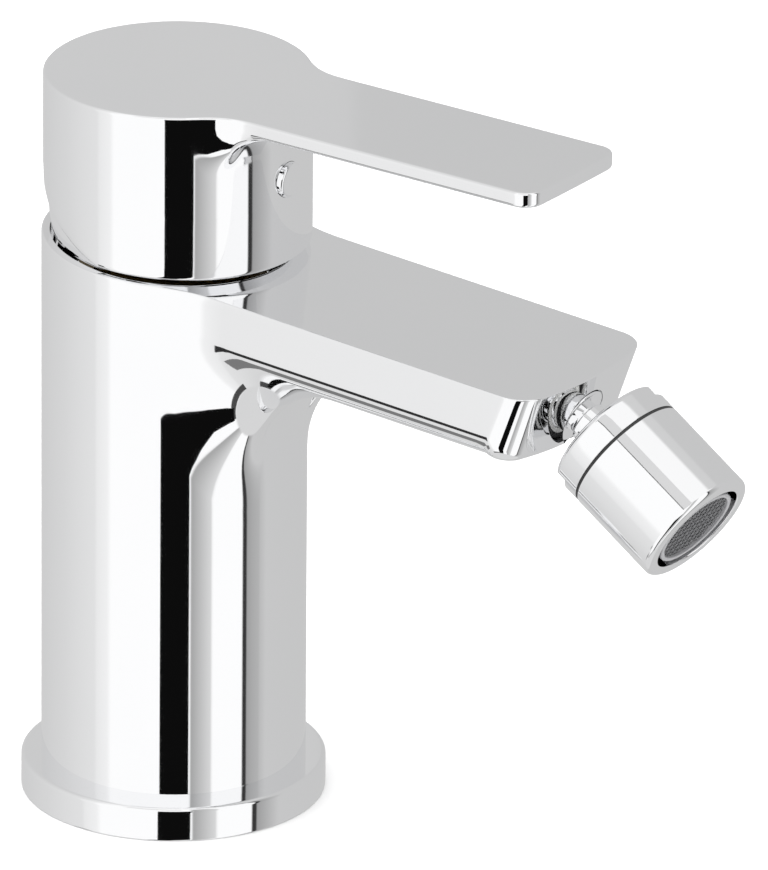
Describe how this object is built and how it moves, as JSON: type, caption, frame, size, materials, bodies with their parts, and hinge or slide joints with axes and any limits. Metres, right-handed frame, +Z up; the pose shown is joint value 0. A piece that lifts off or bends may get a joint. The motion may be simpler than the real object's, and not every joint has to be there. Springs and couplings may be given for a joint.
{
  "type": "bidet mixer",
  "caption": "Single-lever bidet mixer: round upright body, flat sloping spout, cup handle with a flat lever, and a swivelling nozzle on a ball joint.",
  "frame": {"origin": "centre of the foot on the deck", "axes": "+Z up, +X towards the user along the spout and the lever, +Y to the left of someone looking along +X"},
  "size_m": [0.1388, 0.0518, 0.1302],
  "materials": {
    "chrome": "polished chrome plating on brass",
    "rubber": "matt black",
    "acetal_white": "moulded",
    "acetal_dark": "moulded",
    "ceramic": "lapped ceramic",
    "brass": "turned",
    "steel": "turned and ground",
    "insert_grey": "moulded",
    "screen_steel": "woven wire"
  },
  "bodies": {
    "body": {"mixer_body": "chrome", "base_ring": "chrome", "base_seal": "rubber", "cartridge_housing": "acetal_white", "cartridge_base": "acetal_dark", "cartridge_seals": "rubber", "cartridge_o_ring": "rubber", "fixed_disc": "ceramic", "cartridge_nut": "brass", "swivel_nipple": "chrome", "nipple_washer": "rubber"},
    "rotor": {"cartridge_rotor": "acetal_white", "pivot_pin": "steel"},
    "lever": {"lever_stem": "steel", "handle": "chrome", "grub_screw": "steel", "index_button": "chrome"},
    "carrier": {"disc_carrier": "acetal_dark", "moving_disc": "ceramic"},
    "liner": {"ball_liner": "acetal_white"},
    "gasket": {"ball_gasket": "rubber"},
    "nozzle": {"nozzle_cap": "chrome", "nozzle_ring": "rubber", "nozzle_sleeve": "chrome", "ball_retainer": "acetal_white", "aerator_gasket": "rubber", "aerator_insert": "insert_grey", "aerator_diffuser": "insert_grey", "aerator_screen": "screen_steel"}
  },
  "joints": [
    {"name": "handle_swing", "type": "hinge", "parent": "body", "child": "rotor", "pos_m": [0, 0, 0.1003], "axis": [0.0588, 0, 0.9983], "range_deg": [-45, 45]},
    {"name": "handle_lift", "type": "hinge", "parent": "rotor", "child": "lever", "pos_m": [0.00047, 0, 0.10829], "axis": [0, -1, 0], "range_deg": [0, 20]},
    {"name": "disc_slide", "type": "slide", "parent": "rotor", "child": "carrier", "axis": [0.9983, 0, -0.0588], "range_m": [0, 0.00384]},
    {"name": "nozzle_swivel", "type": "hinge", "parent": "body", "child": "liner", "pos_m": [0.09201, 0, 0.08267], "axis": [0.891, 0, -0.454], "continuous": true},
    {"name": "nozzle_tilt", "type": "hinge", "parent": "liner", "child": "gasket", "pos_m": [0.09201, 0, 0.08267], "axis": [-0.2726, 0.7996, -0.535], "range_deg": [-23.96, 12.04]},
    {"name": "nozzle_spin", "type": "hinge", "parent": "gasket", "child": "nozzle", "pos_m": [0.09201, 0, 0.08267], "axis": [0.8485, -0.0623, -0.5255], "continuous": true}
  ],
  "couplings": [
    {"joint": "disc_slide", "follows": "handle_lift", "m_per_rad": 0.010944}
  ]
}
